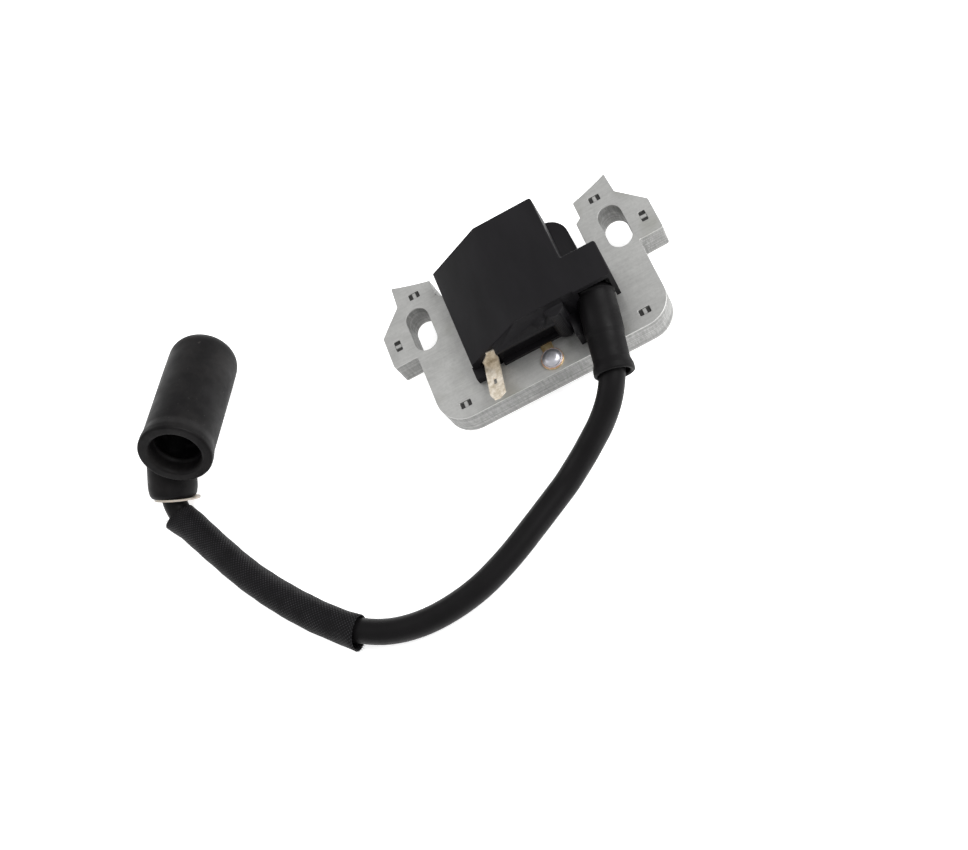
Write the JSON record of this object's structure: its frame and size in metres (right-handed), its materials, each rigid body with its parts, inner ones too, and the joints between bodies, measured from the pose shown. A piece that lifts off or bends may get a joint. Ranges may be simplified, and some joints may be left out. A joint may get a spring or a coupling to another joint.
{
  "type": "ignition coil",
  "caption": "Flywheel magneto ignition coil: laminated steel core, black potted coil module with stop tab, and a sleeved high-voltage lead ending in an angled rubber plug cap.",
  "frame": {"origin": "centre of the coil unit's footprint (core, housing, terminals and lead boot, without the free lead and its cap), on the surface that the housing's back lies on", "axes": "+X along the core's yoke towards the side of the lead boot, +Y from the yoke towards the flywheel, +Z out of the housing's front"},
  "size_m": [0.1656, 0.1132, 0.0352],
  "materials": {
    "lamination": "rolled electrical steel, satin",
    "housing_plastic": "glass-filled nylon, matte black",
    "potting_resin": "cast epoxy, black",
    "bobbin_plastic": "natural nylon",
    "copper_wire": "enamelled copper",
    "board_laminate": "green solder mask",
    "component_plastic": "moulded epoxy, black",
    "capacitor_body": "ceramic, tan",
    "tinned_steel": "tinned, warm grey",
    "strap_brass": "satin",
    "rivet_zinc": "bright zinc",
    "boot_rubber": "smooth black rubber",
    "lead_jacket": "smooth black jacket",
    "sleeve_fabric": "woven black glass fibre",
    "cap_rubber": "dusty black rubber",
    "bushing_plastic": "cream"
  },
  "bodies": {
    "root": {"core_front_sheet": "lamination", "core_sheet_stack": "lamination", "core_back_sheet": "lamination", "coil_housing": "housing_plastic", "potting_compound": "potting_resin", "primary_bobbin": "bobbin_plastic", "primary_winding": "copper_wire", "secondary_bobbin": "bobbin_plastic", "secondary_winding": "copper_wire", "primary_leads": "copper_wire", "secondary_lead": "copper_wire", "circuit_board": "board_laminate", "switching_transistor": "component_plastic", "trigger_chip": "component_plastic", "board_resistors": "component_plastic", "board_capacitors": "capacitor_body", "kill_terminal": "tinned_steel", "ground_strap": "strap_brass", "ground_rivet": "rivet_zinc", "lead_contact_pin": "strap_brass", "lead_boot": "boot_rubber", "ignition_lead": "lead_jacket", "woven_sleeve": "sleeve_fabric", "plug_cap": "cap_rubber", "cap_bushing": "bushing_plastic", "cap_link": "strap_brass", "plug_clip": "tinned_steel"}
  },
  "joints": []
}
